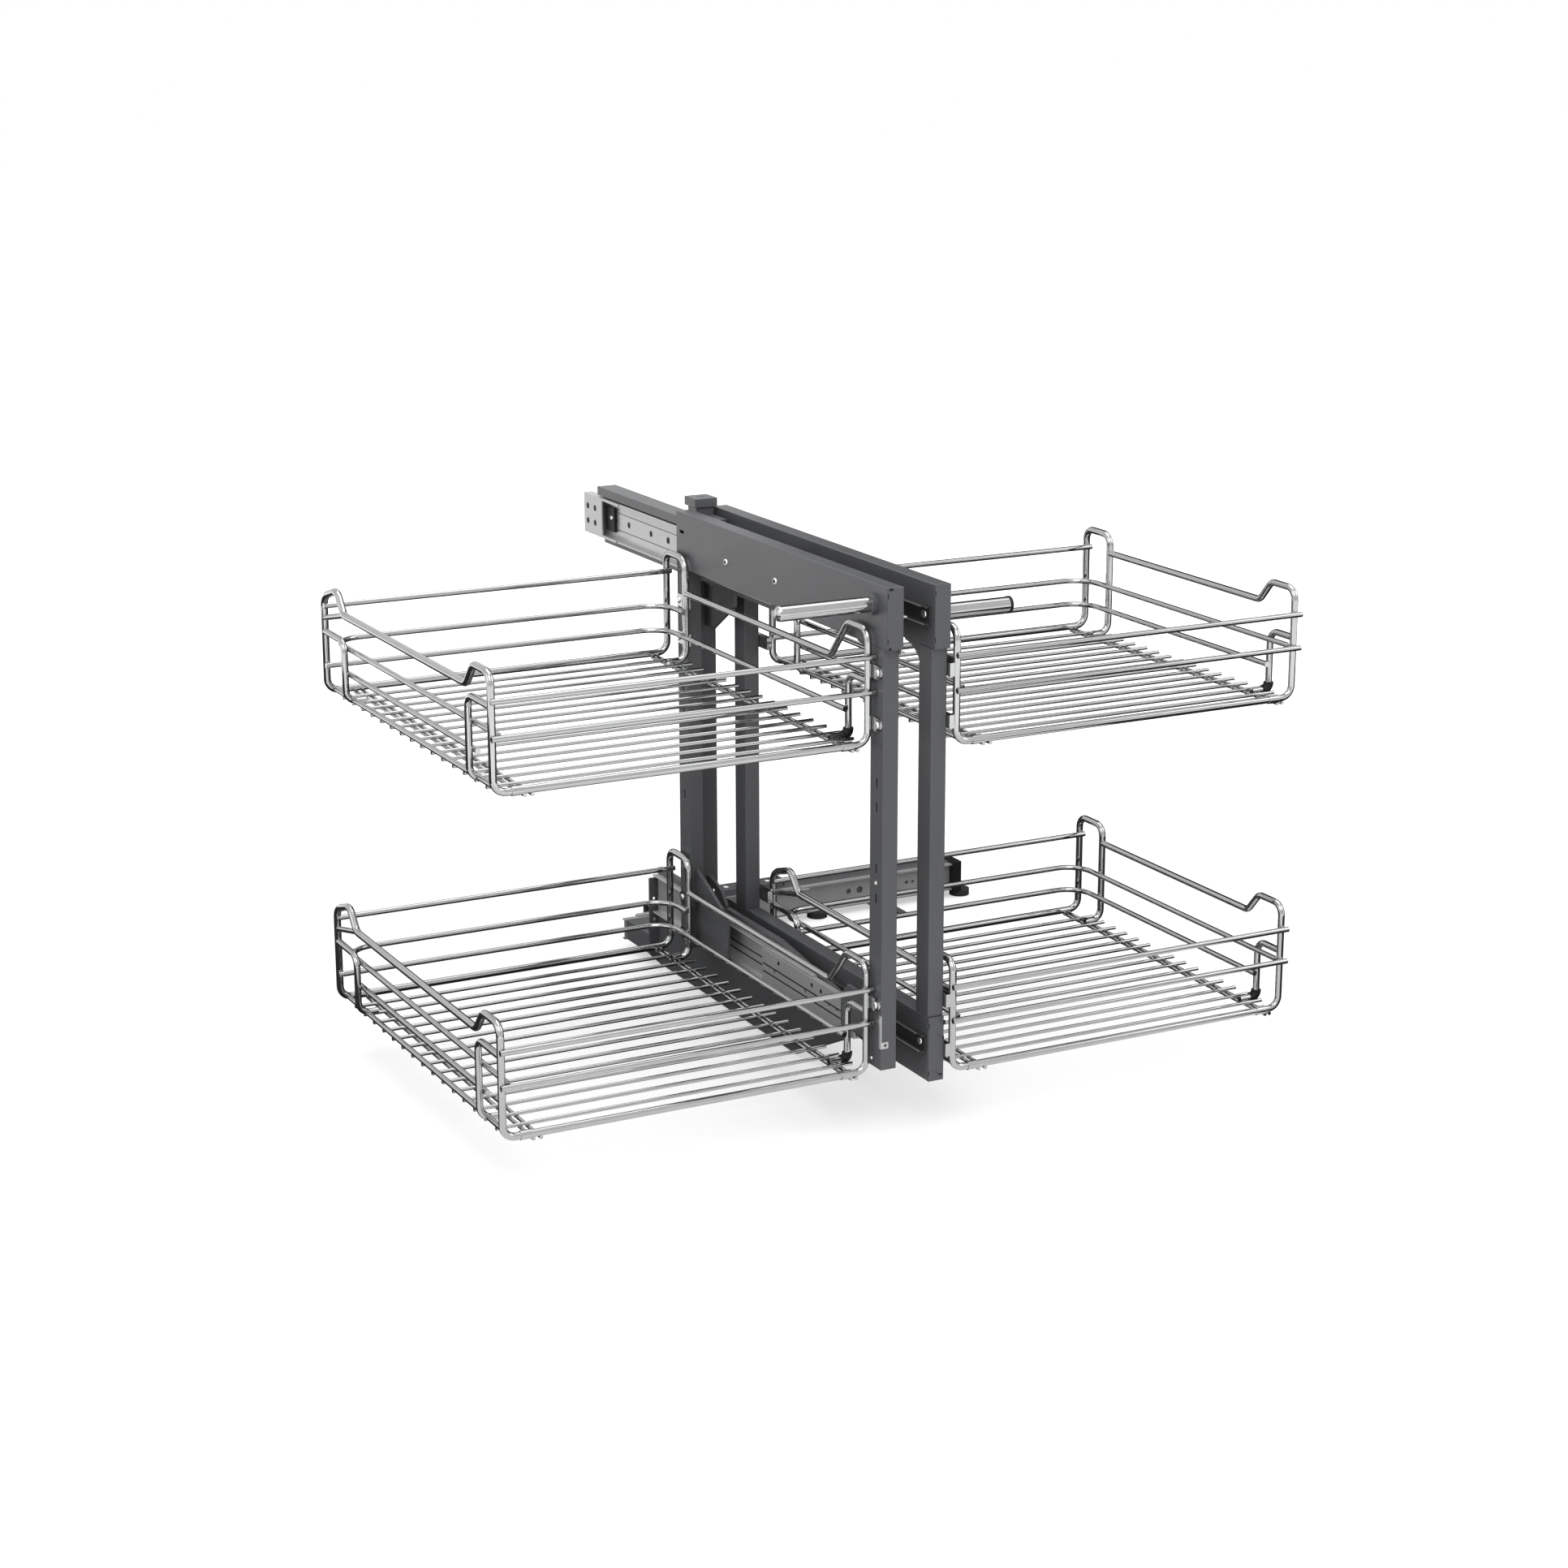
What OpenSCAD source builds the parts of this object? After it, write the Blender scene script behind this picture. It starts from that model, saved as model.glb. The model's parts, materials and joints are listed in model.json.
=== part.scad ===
// Blind corner pull-out. Two telescopic frames with wire baskets stand back to back
// on a carriage that shifts along a rail on the cabinet floor.
// Millimetres, +Z up, the user stands at -Y. The origin is the middle of the floor
// screw pattern, on the floor. The frames are drawn pulled out.

/* [Frames] */
// Width of the beams and posts across the unit
frame_w = 18; // [15:1:22]
// Wall of the beam and post tubes
tube_wall = 1.5; // [1:0.1:2.5]
// Height of the beams' top face above the floor
top_z = 583; // [575:1:620]
// Place of the left beam's front end
frame_front = -717; // [-732:1:-712]
// How far the right frame stands in front of the left one
right_lead = 7; // [0:1:12]
// Length of the left beam with its cap
left_beam_len = 490; // [484:1:510]
// Height of the left beam
left_beam_h = 64; // [56:1:72]
// Length of the right top beam with its cap
right_beam_len = 505; // [500:1:520]
// Height of the right top beam
right_beam_h = 66; // [58:1:74]
// Length of the right bottom beam with its cap
right_low_len = 473; // [460:1:490]
// Height of the right bottom beam
right_low_h = 70; // [62:1:76]
// Underside of the right bottom beam above the floor
right_low_z = 55; // [54:0.5:60]
// Depth of the posts along the travel
post_d = 26; // [20:1:30]
// Lower end of the left posts above the floor
left_post_low = 72; // [66:1:80]
// Thickness of the beam end caps
cap_t = 2; // [1.5:0.5:4]
// Reach of the caps into the tubes
plug_len = 9; // [6:1:14]
// Play of the caps in the tubes
plug_gap = 0.2; // [0.1:0.05:0.5]
// Side of the arc gussets
gusset_side = 42; // [30:1:55]
// Thickness of the gusset plates
gusset_t = 4; // [3:0.5:6]
// Diameter of the handle rods
handle_d = 16; // [12:1:20]
// Length of the left handle rod
left_handle_len = 104; // [80:1:130]
// Length of the right handle rod
right_handle_len = 81; // [70:1:120]
// Depth of the left handle's axis below the beam's top
left_handle_drop = 21; // [18:1:32]
// Depth of the right handle's axis below the beam's top
right_handle_drop = 34; // [20:1:34]
// Length of the left handle's collar
collar_len = 6; // [4:0.5:10]
// Length of the right handle's black cap
handle_cap_len = 3; // [2:0.5:12]

/* [Slides] */
// Height of the tall slides
tall_h = 48; // [44:1:52]
// Thickness of the tall slides
tall_t = 13; // [12.5:0.1:15]
// Sheet of the tall slides
tall_sheet = 1.8; // [1.4:0.1:2]
// Height of the small slides
small_h = 27; // [24:1:32]
// Thickness of the small slides
small_t = 12; // [11.5:0.1:14]
// Sheet of the small slides
small_sheet = 1.6; // [1.2:0.1:1.8]
// Height of the cross slide
cross_h = 35; // [30:1:36]
// Running play between slide members
run_gap = 0.4; // [0.3:0.05:0.6]
// Front end of the carriage's slide members
slide_front = -417; // [-422:1:-407]
// Length of the upper tall slide's outer member
tall_top_len = 494; // [484:1:510]
// Length of the plate across the upper tall slide's rear end
end_plate_len = 52; // [44:1:54]
// Length of the lower slides' outer members
low_len = 315; // [300:1:316]
// Length of the lower right slide's middle and inner members
low_run_len = 305; // [290:1:310]
// Length of the lower left slide's inner member
left_low_len = 215; // [200:1:217]
// Length of the lower left slide's middle member
left_low_mid_len = 260; // [240:1:266]
// Distance of the lower left slide's inner member behind the front post
low_set_back = 65; // [60:1:66]
// Length of the middle members of the upper slides
top_mid_len = 335; // [320:1:360]
// Length of the upper left slide's inner member
top_inner_len = 425; // [400:1:432]
// Length of the upper right slide's inner member
right_inner_len = 478; // [450:1:482]
// Depth of the upper tall slide's middle below the beams' top
tall_drop = 51; // [51:1:54]
// Depth of the upper small slide's middle below the beams' top
small_drop = 33; // [33:1:36]
// Height of the lower small slide's middle above the bottom beam's underside
small_rise = 41; // [30:1:50]
// Diameter of the screw holes in the slides
slide_hole_d = 5; // [3:0.5:6]

/* [Carriage] */
// Left face of the carriage web
web_x0 = -246; // [-256:1:-240]
// Thickness of the carriage web
web_t = 7; // [5:0.5:10]
// Height of the top bar
bar_h = 69; // [66:1:72]
// Depth of the top bar's upper face below the beams' top
bar_drop = 15; // [13:1:15]
// Thickness of the top bar's right flange
flange_t = 3; // [2:0.5:4]
// Thickness of the top bar's left flange
left_flange_t = 10; // [6:0.5:10]
// Length of the top bar
bar_len = 459; // [450:1:480]
// Width and depth of the column
column_w = 24; // [20:1:27]
// Front face of the column
column_y = -232; // [-243:1:-226]
// Size of the cap block on the column
column_cap_w = 28; // [25:0.5:29]
// Height of the cap with its neck
column_cap_h = 27; // [22:1:30]
// Height of the cap block
cap_block_h = 10; // [8:0.5:12]
// Thickness of the plate under the cap's neck
cap_plate_t = 7; // [5:0.5:9]
// Reach of that plate in front of the column
cap_plate_reach = 30; // [20:1:40]
// Upper edge of the bottom panel above the floor
panel_top = 125; // [122:1:135]
// Lower edge of the bottom panel above the floor
panel_low = 3; // [3:0.5:6]
// Front end of the bottom panel's lower edge
panel_front = -457; // [-461:1:-436]
// Reach of the bottom panel's nose in front of its lower edge
nose_len = 150; // [120:1:165]
// Front face of the rear plate
rear_y = -98; // [-98:1:-90]
// Thickness of the rear plate
plate_t = 3; // [2:0.5:4]
// Upper edge of the rear plate's wide part
rear_wide_top = 50; // [46:1:51]
// Width of the rear plate's wide part
rear_wide_w = 53; // [48:1:54]
// Width of the rear plate's narrow part
rear_narrow_w = 26; // [22:1:28]
// Reach of the rear plate left of the web's middle
rear_left = 15.5; // [14:0.5:16]
// Upper edge of the rear plate's narrow part
rear_top = 112; // [100:1:120]
// Width of the carriage block
block_w = 45; // [36:1:50]

/* [Baskets] */
// Width of the left baskets between their corner legs
left_w = 407; // [380:1:430]
// Width of the right baskets between their corner legs
right_w = 416; // [390:1:440]
// Depth of the left baskets between their corner legs
left_depth = 475; // [440:1:490]
// Depth of the right baskets between their corner legs
right_depth = 408; // [395:1:440]
// Height of the upper baskets' bottom wire
upper_z = 418; // [400:1:419]
// Height of the lower baskets' bottom wire
lower_z = 66; // [64:1:80]
// Height of the peaks at the corners
peak_z = 118; // [110:1:118]
// Height of the low part of the top wire
dip_z = 95; // [86:1:96]
// Height of the upper front rail
front_top_z = 91; // [84:1:96]
// Height of the lower front rail
front_low_z = 54.5; // [48:0.5:60]
// Height of the upper side rail
side_top_z = 57; // [53:1:58]
// Height of the lower side rail
side_low_z = 29; // [24:1:34]
// Height of the upper rail on the left baskets' side at the frame
inner_z = 77; // [72:1:80]
// Depth of the left baskets' upper rear tabs below that rail
tab_drop = 12; // [10:1:16]
// Distance of that rail's front end behind the corner leg
inner_foot_y = 78; // [70:1:86]
// Diameter of the frame wires
wire_d = 8; // [7:0.5:9]
// Diameter of the rails
rail_d = 6; // [5:0.5:6.5]
// Diameter of the floor wires
floor_d = 4; // [3:0.5:4.5]
// Bend radius of the frame wires
bend_r = 13; // [11:1:14]
// Bend radius of the wire in the black tips
foot_bend = 7; // [6.5:0.5:9]
// Corner radius of the side rails
corner_r = 30; // [22:1:36]
// Depth of a weld between two wires
weld = 0.8; // [0.5:0.1:1.2]
// Number of floor wires in a basket
floor_count = 15; // [11:2:15]
// Distance of the first and last floor wire from the corner legs
floor_margin = 32; // [30:1:32]
// Distance of the right front inner leg behind the corner leg
foot_y = 41; // [40:1:42]
// Play between the left frame and its baskets
left_gap = 2; // [1.5:0.5:4]
// Play between the right frame and its baskets
right_gap = 5; // [5:0.5:9]
// Distance of the left baskets behind the beam's front end
left_set_back = 30; // [26:1:34]
// Outer diameter of the black sleeve tips
tip_d = 11; // [10:0.5:13]
// Play of the sleeve tips on the wire
tip_gap = 0.05; // [0.02:0.01:0.1]

/* [Base] */
// Length of the cross rail
rail_len = 427; // [400:1:430]
// Right end of the cross rail
rail_right = 211; // [204:1:219]
// Depth of the cross rail
cross_rail_d = 24; // [20:1:26]
// Height of the cross rail
rail_h = 38; // [37:0.5:38]
// Wall of the cross rail
rail_wall = 2; // [1.5:0.1:3]
// Height of the feet
foot_h = 8; // [7:0.5:8]
// Diameter of the feet
foot_d = 26; // [20:1:28]
// Distance of the left foot from the rail's left end
foot_left = 16; // [14:1:24]
// Distance of the middle foot from the rail's left end
foot_mid = 232; // [200:1:260]
// Distance of the right foot past the rail's right end
foot_right = 15; // [4:1:18]
// Distance of the feet in front of the rail's middle
foot_ahead = 14; // [8:1:18]
// Height of the box on the rail
box_h = 7.5; // [5:0.5:7.5]
// Distance of the box from the rail's left end
box_inset = 40; // [30:1:50]
// Length of the box on the rail
box_len = 150; // [140:1:170]
// Length of the inner member of the cross slide
cross_inner_len = 108; // [90:1:112]
// Length of the middle member of the cross slide
cross_mid_len = 240; // [220:1:250]
// Distance of the floor screws along the rail
screw_dx = 220; // [200:1:260]
// Distance of the floor screws across the rail
screw_dy = 110; // [90:1:120]
// Diameter of the floor screw holes
floor_hole_d = 5; // [4:0.5:6]
// Thickness of the floor brackets
bracket_t = 3; // [2:0.5:4]
// Width of the floor brackets
bracket_w = 24; // [18:1:30]

/* [Hidden] */
$fn = 32;

graphite = [0.24, 0.25, 0.27];
zinc = [0.72, 0.74, 0.76];
chrome = [0.82, 0.83, 0.85];
black = [0.08, 0.08, 0.09];
eps = 0.01;

// Places across the unit
web_x = [web_x0, web_x0 + web_t];
web_mid = web_x0 + web_t / 2;
left_x = [web_x[0] - tall_t - frame_w, web_x[0] - tall_t];
right_x = [web_x[1] + small_t, web_x[1] + small_t + frame_w];
left_mid = (left_x[0] + left_x[1]) / 2;
right_mid = (right_x[0] + right_x[1]) / 2;

// Places along the travel
left_y = [frame_front, frame_front + left_beam_len];
right_front = frame_front - right_lead;
right_y = [right_front, right_front + right_beam_len];
low_y = [right_front + 4, right_front + 4 + right_low_len];
left_front_post_y = [frame_front + 9, frame_front + 9 + post_d];
left_rear_post_y = [left_y[1] - 1 - post_d, left_y[1] - 1];
right_front_post_y = [right_front + 6, right_front + 6 + post_d];
right_rear_post_y = [low_y[1] - 25 - post_d, low_y[1] - 25];
left_handle_y = frame_front + 30;
right_handle_y = right_front + 25;

// Heights
left_beam_z = [top_z - left_beam_h, top_z];
right_beam_z = [top_z - right_beam_h, top_z];
low_z = [right_low_z, right_low_z + right_low_h];
bar_z = [top_z - bar_drop - bar_h, top_z - bar_drop];
tall_top_z = top_z - tall_drop;
tall_low_z = left_post_low + tall_h / 2 - 2;
small_top_z = top_z - small_drop;
small_low_z = right_low_z + small_rise;
rail_z = [foot_h, foot_h + rail_h];
cross_z = foot_h + 1 + cross_h / 2;
nose_z = [tall_low_z - tall_h / 2 + 4, tall_low_z + 6];
left_handle_z = top_z - left_handle_drop;
right_handle_z = top_z - right_handle_drop;

// Slide members: inner members start behind the frames' front ends
left_inner_y = frame_front + 5;
right_inner_y = right_front + 8;
left_low_y = left_front_post_y[1] + low_set_back;
left_mid_y = (slide_front + left_inner_y) / 2;
left_low_mid_y = (slide_front + left_low_y) / 2;
right_mid_y = (slide_front + right_inner_y) / 2;

// Cross slide
rail_x = [rail_right - rail_len, rail_right];
rail_y = [-cross_rail_d / 2, cross_rail_d / 2];
cross_t = tall_t;
block_x = [web_mid - 12.5, web_mid - 12.5 + block_w];
block_y = [rear_y + plate_t, rail_y[0] - cross_t];
block_z = [cross_z - 13, cross_z + 13];
cross_inner_x = [web_mid - rear_left, web_mid - rear_left + cross_inner_len];
cross_mid_x = cross_inner_x[0] + cross_inner_len / 2 + 85 - cross_mid_len / 2;

// Basket corners
left_basket = [left_x[0] - left_gap - wire_d / 2 - left_w, frame_front + left_set_back];
right_basket = [right_x[1] + right_gap + wire_d / 2, right_front + 2];
tabs = [upper_z + 22, upper_z + 76, lower_z + 22, lower_z + 76];
left_front_tabs = [upper_z + 22, upper_z + 76, lower_z + 76];
left_rear_tab_z = inner_z - tab_drop;
left_rear_tabs = [upper_z + 22, upper_z + left_rear_tab_z, lower_z + 22, lower_z + left_rear_tab_z];
side_off = (wire_d + rail_d) / 2 - weld;
leg_d = wire_d - 0.6;
floor_off = (wire_d - floor_d) / 2;
cross_off = floor_off + floor_d - weld;

// A block from its lower and upper ends on the three axes
module slab(x, y, z) {
    translate([x[0], y[0], z[0]])
        cube([x[1] - x[0], y[1] - y[0], z[1] - z[0]]);
}

// A square tube along Y
module tube_y(x, y, z, wall) {
    difference() {
        slab(x, y, z);
        slab([x[0] + wall, x[1] - wall], [y[0] - 1, y[1] + 1], [z[0] + wall, z[1] - wall]);
    }
}

// A square tube along Z
module tube_z(x, y, z, wall) {
    difference() {
        slab(x, y, z);
        slab([x[0] + wall, x[1] - wall], [y[0] + wall, y[1] - wall], [z[0] - 1, z[1] + 1]);
    }
}

// A short pin along X from a face, towards the sign of len
module pin_x(x, y, z, d, len) {
    translate([min(x, x + len), y, z])
        rotate([0, 90, 0])
            cylinder(d = d, h = abs(len));
}

// A short pin along Y from a face, towards the sign of len
module pin_y(x, y, z, d, len) {
    translate([x, max(y, y + len), z])
        rotate([90, 0, 0])
            cylinder(d = d, h = abs(len));
}

// A slot through a wall whose face looks along X
module slot_x(x, y, z, w, h) {
    translate([x - 1, y - w / 2, z - h / 2])
        cube([2 + tube_wall, w, h]);
}

// Section of a slide member: web at a, flanges reaching to b
module channel(a, b, h, t) {
    s = b > a ? t : -t;
    polygon([
        [a, -h / 2], [b, -h / 2], [b, t - h / 2], [a + s, t - h / 2],
        [a + s, h / 2 - t], [b, h / 2 - t], [b, h / 2], [a, h / 2]
    ]);
}

// A slide member along Y, with its web and flange ends at two places on X
module member_y(a, b, h, t, y, len, z) {
    translate([0, y + len, z])
        rotate([90, 0, 0])
            linear_extrude(len)
                channel(a, b, h, t);
}

// A slide member along X, with its web and flange ends at two places on Y
module member_x(a, b, h, t, x, len, z) {
    translate([x, 0, z])
        rotate([90, 0, 90])
            linear_extrude(len)
                channel(a, b, h, t);
}

// The three members of a slide between a fixed face and a moving face
module outer_y(face, move, h, t, y, len, z) {
    dir = sign(move - face);
    member_y(face, move - dir * (2 * t + 0.4), h, t, y, len, z);
}
module middle_y(face, move, h, t, y, len, z) {
    dir = sign(move - face);
    member_y(face + dir * 2 * t, move - dir * (t + run_gap), h - 2 * (t + run_gap), t, y, len, z);
}
module inner_y(face, move, h, t, y, len, z) {
    dir = sign(move - face);
    member_y(move, face + dir * (3 * t + 2 * run_gap), h - 4 * (t + run_gap), t, y, len, z);
}

// A straight round rod between two points
module rod(a, b, d) {
    v = b - a;
    translate(a)
        rotate([0, acos(v.z / norm(v)), atan2(v.y, v.x)])
            cylinder(d = d, h = norm(v));
}

function unit(v) = v / norm(v);
function turn(p, i) = acos(max(-1, min(1, unit(p[i] - p[i - 1]) * unit(p[i + 1] - p[i]))));
function cut(p, i, r) = (i == 0 || i == len(p) - 1) ? 0 : r * tan(turn(p, i) / 2);

// One bend of a wire at point i
module elbow(p, i, d, r) {
    u = unit(p[i] - p[i - 1]);
    w = unit(p[i + 1] - p[i]);
    n = unit(w - u * (u * w));
    c = p[i] - u * cut(p, i, r) + n * r;
    e = -n;
    k = cross(e, u);
    multmatrix([
        [e.x, u.x, k.x, c.x],
        [e.y, u.y, k.y, c.y],
        [e.z, u.z, k.z, c.z],
        [0, 0, 0, 1]
    ])
        rotate_extrude(angle = turn(p, i))
            translate([r, 0])
                circle(d = d);
}

// A bent wire through a list of points
module wire(p, d, r) {
    for (i = [0 : len(p) - 2]) {
        u = unit(p[i + 1] - p[i]);
        rod(p[i] + u * cut(p, i, r), p[i + 1] - u * cut(p, i + 1, r), d);
    }
    for (i = [1 : len(p) - 2])
        elbow(p, i, d, r);
}

// Straight rods through a list of points, with a small ball at each of the first n
module kinks(p, d, n) {
    for (i = [0 : len(p) - 2])
        rod(p[i], p[i + 1], d);
    for (i = [0 : n - 1])
        translate(p[i])
            sphere(d = d + 0.6);
}

// Bend at the lower end of the right front inner leg, under the black tip
function tip_path(w) = [
    [w, foot_y, foot_bend + 1], [w, foot_y, 0], [w - foot_bend - 1, foot_y, 0]
];

// Walls of a basket, from its front left corner leg at the bottom wire. Where low is true, the right side
// has one rail less and its top wire runs lower.
module basket_walls(w, d, over, low) {
    r = bend_r;
    q = side_off;
    rear_z = peak_z - 22;
    // Left side
    wire([[24, 0, 0], [0, 0, 0], [0, 0, peak_z], [0, 42, peak_z]], wire_d, r);
    kinks([
        [0, 42, peak_z], [0, 62, dip_z], [0, d - 64, dip_z], [0, d - 44, peak_z],
        [0, d - 11, rear_z + 12], [0, d - 3, rear_z + 7], [0, d, rear_z]
    ], wire_d, 7);
    wire([[0, d, rear_z], [0, d, 0], [24, d, 0]], wire_d, r);
    rod([0, d - 2, dip_z - 14], [0, d - 64, dip_z], rail_d);
    wire([[0, 2, front_top_z - 6], [0, 60, front_top_z - 6], [0, 60, 0], [22, 60, 0]], leg_d, r);
    wire([
        [0, d - 2, side_top_z + 9], [0, d - 60, side_top_z + 9], [0, d - 60, 0], [22, d - 60, 0]
    ], leg_d, r);
    rod([q, 60 - 8, side_low_z], [q, d - 60 + 8, side_low_z], rail_d);
    rod([q + 1, -1, rail_d / 2 - weld], [q + 1, d + 1, rail_d / 2 - weld], rail_d);
    // Right side
    wire([
        [w - 24, d, 0], [w, d, 0], [w, d, peak_z - 2], [w, d - 50, peak_z - 2],
        [w, d - 50, 0], [w - 22, d - 50, 0]
    ], wire_d, r);
    if (low)
        kinks([[w, 42, peak_z], [w, inner_foot_y, inner_z], [w, d - 52, inner_z]], leg_d, 2);
    else
        kinks([[w, 42, peak_z], [w, 62, dip_z], [w, d - 52, dip_z]], leg_d, 2);
    wire([[w, 42, peak_z], [w, 0, peak_z], [w, 0, 0], [w - 24, 0, 0]], wire_d, r);
    wire([[w, 2, side_top_z + 8], [w, foot_y, side_top_z + 8], [w, foot_y, foot_bend + 8]], leg_d, r);
    wire([[w, foot_y, foot_bend + 8], [w, foot_y, 0], [w - 22, foot_y, 0]], leg_d, foot_bend);
    // Side and back rails
    wire([[q, -1, side_top_z], [q, d - q, side_top_z], [w - q, d - q, side_top_z],
        [w - q, low ? d - 58 : -1, side_top_z]], rail_d, corner_r);
    wire([[-3, d - q, side_low_z], [w - q, d - q, side_low_z], [w - q, foot_y - 5, side_low_z]],
        rail_d, corner_r);
    rod([-3, d - q, dip_z], [w + 3, d - q, dip_z], rail_d);
    // Front rails and bottom wires
    for (z = [front_low_z, front_top_z])
        rod([-3, -q, z], [w + over, -q, z], rail_d);
    rod([24, 0, 0], [w - 24, 0, 0], wire_d);
    rod([24, d, 0], [w - 24, d, 0], wire_d);
    for (x = [18, w - 30])
        rod([x, 0, 0], [x + 12, 0, 0], wire_d + 1.6);
}

// Floor of a basket: thin wires over two pairs of cross wires
module basket_floor(w, d) {
    step = (d - 2 * floor_margin) / (floor_count - 1);
    for (i = [0 : floor_count - 1])
        translate([0, floor_margin + i * step, -floor_off])
            rod([5.5, 0, 0], [w + 1, 0, 0], floor_d);
    for (x = [32, 40, w - 18, w - 12])
        rod([x, -2, -cross_off], [x, d + 2, -cross_off], floor_d);
}

// Sleeve on the lower bend of the right front inner leg
module basket_tip(w) {
    difference() {
        wire(tip_path(w), tip_d, foot_bend);
        wire([[w, foot_y, 40], [w, foot_y, 0], [w - 40, foot_y, 0]], leg_d + 2 * tip_gap, foot_bend);
    }
}

// Flat tab between a post face and a basket leg
module tab(x, y, z) {
    slab(x, [min(y[0], y[1]), max(y[0], y[1])], [z - 7, z + 7]);
    pin_x(x[0], y[1], z, 14, x[1] - x[0]);
}

// A beam end cap with its plug
module beam_cap(x, y, z) {
    g = tube_wall + plug_gap;
    difference() {
        union() {
            slab(x, [y, y + cap_t], z);
            slab([x[0] + g, x[1] - g], [y + cap_t - eps, y + cap_t + plug_len], [z[0] + g, z[1] - g]);
        }
        slab([x[0] + g + 2, x[1] - g - 2], [y + cap_t, y + cap_t + plug_len + 1],
            [z[0] + g + 2, z[1] - g - 2]);
        for (h = [z[0] + 9, z[1] - 9])
            slab([x[0] - 1, x[0] + 1.2], [y - 1, y + cap_t + 1], [h - 2.5, h + 2.5]);
    }
}

// A plate with a hollow quarter circle, in the corner behind a front post and below a beam
module arc_gusset(x, y, z) {
    translate([x - gusset_t / 2, y, z])
        rotate([90, 0, 90])
            linear_extrude(gusset_t)
                difference() {
                    translate([0, -gusset_side])
                        square(gusset_side);
                    translate([gusset_side, -gusset_side])
                        circle(r = gusset_side - 5, $fn = 96);
                }
}

// A handle rod along X with a domed end
module handle_rod(x, y, z, len, dir) {
    r = handle_d / 2;
    translate([x, y, z])
        rotate([0, dir * 90, 0])
            rotate_extrude($fn = 64)
                polygon([
                    [0, 0], [r, 0], [r, len - 4], [r * 0.93, len - 1.9], [r * 0.7, len - 0.6], [0, len]
                ]);
}

// Base
module cross_rail() {
    color(graphite)
        difference() {
            slab(rail_x, rail_y, rail_z);
            slab([rail_x[0] - 1, rail_x[1] + 1], [rail_y[0] + rail_wall, rail_y[1] - rail_wall],
                [rail_z[0] + rail_wall, rail_z[1] - rail_wall]);
        }
}

module rail_end_block() {
    color(black)
        slab([rail_x[1], rail_x[1] + 11], [rail_y[0] - cross_t - 1, rail_y[1] + 1],
            [rail_z[0], rail_z[1] + 2]);
}

module rail_left_box() {
    x = [rail_x[0] + box_inset, rail_x[0] + box_inset + box_len];
    color(graphite)
        difference() {
            slab(x, rail_y, [rail_z[1], rail_z[1] + box_h]);
            slab([x[0] + 2, x[1] - 2], [rail_y[0] + 2, rail_y[1] - 2],
                [rail_z[1] - 1, rail_z[1] + box_h - 2]);
            translate([x[1], rail_y[0], rail_z[1] - 1])
                rotate([0, 0, 45])
                    cube([9, 9, 2 * box_h + 4], center = true);
        }
}

module rail_feet() {
    color(black)
        for (x = [rail_x[0] + foot_left, rail_x[0] + foot_mid, rail_x[1] + foot_right])
            translate([x, -foot_ahead, 0])
                cylinder(d = foot_d, h = foot_h);
}

module floor_brackets() {
    color(black)
        for (s = [-1, 1])
            difference() {
                union() {
                    slab([s * screw_dx / 2 - bracket_w / 2, s * screw_dx / 2 + bracket_w / 2],
                        [-screw_dy / 2 - 12, screw_dy / 2 + 12], [0, bracket_t]);
                    slab([s * screw_dx / 2 - bracket_w / 2, s * screw_dx / 2 + bracket_w / 2],
                        rail_y, [0, rail_z[0]]);
                }
                for (y = [-screw_dy / 2, screw_dy / 2])
                    translate([s * screw_dx / 2, y, -1])
                        cylinder(d = floor_hole_d, h = bracket_t + 2);
            }
}

module cross_slide_outer() {
    t = tall_sheet;
    color(zinc)
        difference() {
            member_x(rail_y[0], rail_y[0] - cross_t + 2 * t + 0.4, cross_h, t, rail_x[0], rail_len, cross_z);
            for (h = [[198, 5], [278, 7], [294, 9], [363, 5], [372, 4]])
                pin_y(rail_x[0] + h[0], rail_y[0] + 1, cross_z, h[1], -t - 2);
        }
}

module base_screws() {
    color(zinc)
        for (d = [70, 128])
            translate([rail_x[0] + box_inset + d, 0, rail_z[1] + box_h])
                cylinder(d = 8, h = 1);
}

module cross_slide_middle() {
    t = tall_sheet;
    color(zinc)
        member_x(rail_y[0] - 2 * t, rail_y[0] - cross_t + t + run_gap, cross_h - 2 * (t + run_gap), t,
            cross_mid_x, cross_mid_len, cross_z);
}

// Carriage
module cross_slide_inner() {
    t = tall_sheet;
    color(zinc)
        member_x(rail_y[0] - cross_t, rail_y[0] - 3 * t - 2 * run_gap, cross_h - 4 * (t + run_gap), t,
            cross_inner_x[0], cross_inner_len, cross_z);
}

module carriage_block() {
    color(graphite) {
        tube_y(block_x, [block_y[0], block_y[1] - 3], block_z, 3);
        slab(block_x, [block_y[1] - 3, block_y[1]], block_z);
    }
}

module rear_plate() {
    wide = [web_mid - rear_left, web_mid - rear_left + rear_wide_w];
    narrow = [wide[0] + 1, wide[0] + 1 + rear_narrow_w];
    color(graphite)
        difference() {
            union() {
                slab(wide, [rear_y, rear_y + plate_t], [panel_low + 1, rear_wide_top]);
                slab(narrow, [rear_y, rear_y + plate_t], [rear_wide_top - eps, rear_top]);
            }
            translate([wide[0], rear_y - 1, panel_low + 1])
                rotate([0, 45, 0])
                    cube([17, 2 * (plate_t + 2), 17], center = true);
            for (z = [28, 60, 86])
                pin_y(narrow[0] + 6, rear_y - 1, z, 4, plate_t + 2);
        }
}

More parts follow.
